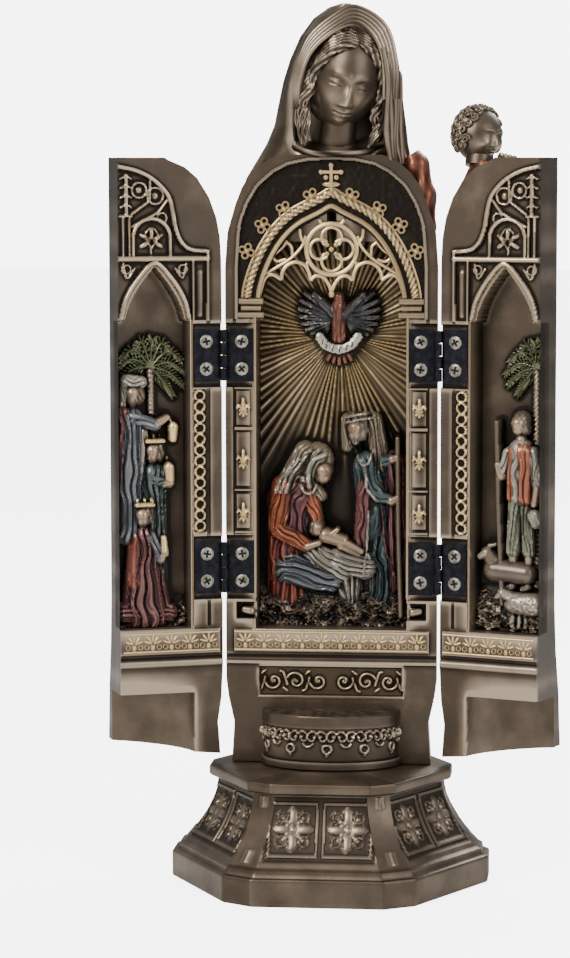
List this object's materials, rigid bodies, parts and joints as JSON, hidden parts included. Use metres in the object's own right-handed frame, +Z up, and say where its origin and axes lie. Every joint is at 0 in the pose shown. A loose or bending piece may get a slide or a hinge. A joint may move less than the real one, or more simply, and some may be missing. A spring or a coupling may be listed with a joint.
{
  "type": "folding triptych altarpiece figurine",
  "caption": "Veiled half figure on a six-sided plinth whose front opens as two hinged wings around a relief niche.",
  "frame": {"origin": "centre of the plinth's underside", "axes": "+Z up, -Y to the front, +X to the viewer's right"},
  "size_m": [0.1474, 0.094, 0.2804],
  "materials": {
    "casting": "cold-cast resin with antique bronze patina and hand-painted accents",
    "hinge_leaf": "darkened steel",
    "hinge_pin": "tarnished",
    "screw": "darkened cross-recess heads"
  },
  "bodies": {
    "shrine": {"plinth": "casting", "shrine": "casting", "left_lower_shrine_leaf": "hinge_leaf", "left_lower_pin": "hinge_pin", "left_lower_shrine_screw_low": "screw", "left_lower_shrine_screw_high": "screw", "left_upper_shrine_leaf": "hinge_leaf", "left_upper_pin": "hinge_pin", "left_upper_shrine_screw_low": "screw", "left_upper_shrine_screw_high": "screw", "right_lower_shrine_leaf": "hinge_leaf", "right_lower_pin": "hinge_pin", "right_lower_shrine_screw_low": "screw", "right_lower_shrine_screw_high": "screw", "right_upper_shrine_leaf": "hinge_leaf", "right_upper_pin": "hinge_pin", "right_upper_shrine_screw_low": "screw", "right_upper_shrine_screw_high": "screw"},
    "left_wing": {"left_wing": "casting", "left_lower_wing_leaf": "hinge_leaf", "left_lower_wing_screw_low": "screw", "left_lower_wing_screw_high": "screw", "left_upper_wing_leaf": "hinge_leaf", "left_upper_wing_screw_low": "screw", "left_upper_wing_screw_high": "screw"},
    "right_wing": {"right_wing": "casting", "right_lower_wing_leaf": "hinge_leaf", "right_lower_wing_screw_low": "screw", "right_lower_wing_screw_high": "screw", "right_upper_wing_leaf": "hinge_leaf", "right_upper_wing_screw_low": "screw", "right_upper_wing_screw_high": "screw"}
  },
  "joints": [
    {"name": "left_wing_hinge", "type": "hinge", "parent": "shrine", "child": "left_wing", "pos_m": [-0.0343, -0.0009, 0.1346], "axis": [0, 0, 1], "range_deg": [-21, 159]},
    {"name": "right_wing_hinge", "type": "hinge", "parent": "shrine", "child": "right_wing", "pos_m": [0.0343, -0.0009, 0.1346], "axis": [0, 0, -1], "range_deg": [-21, 159]}
  ]
}
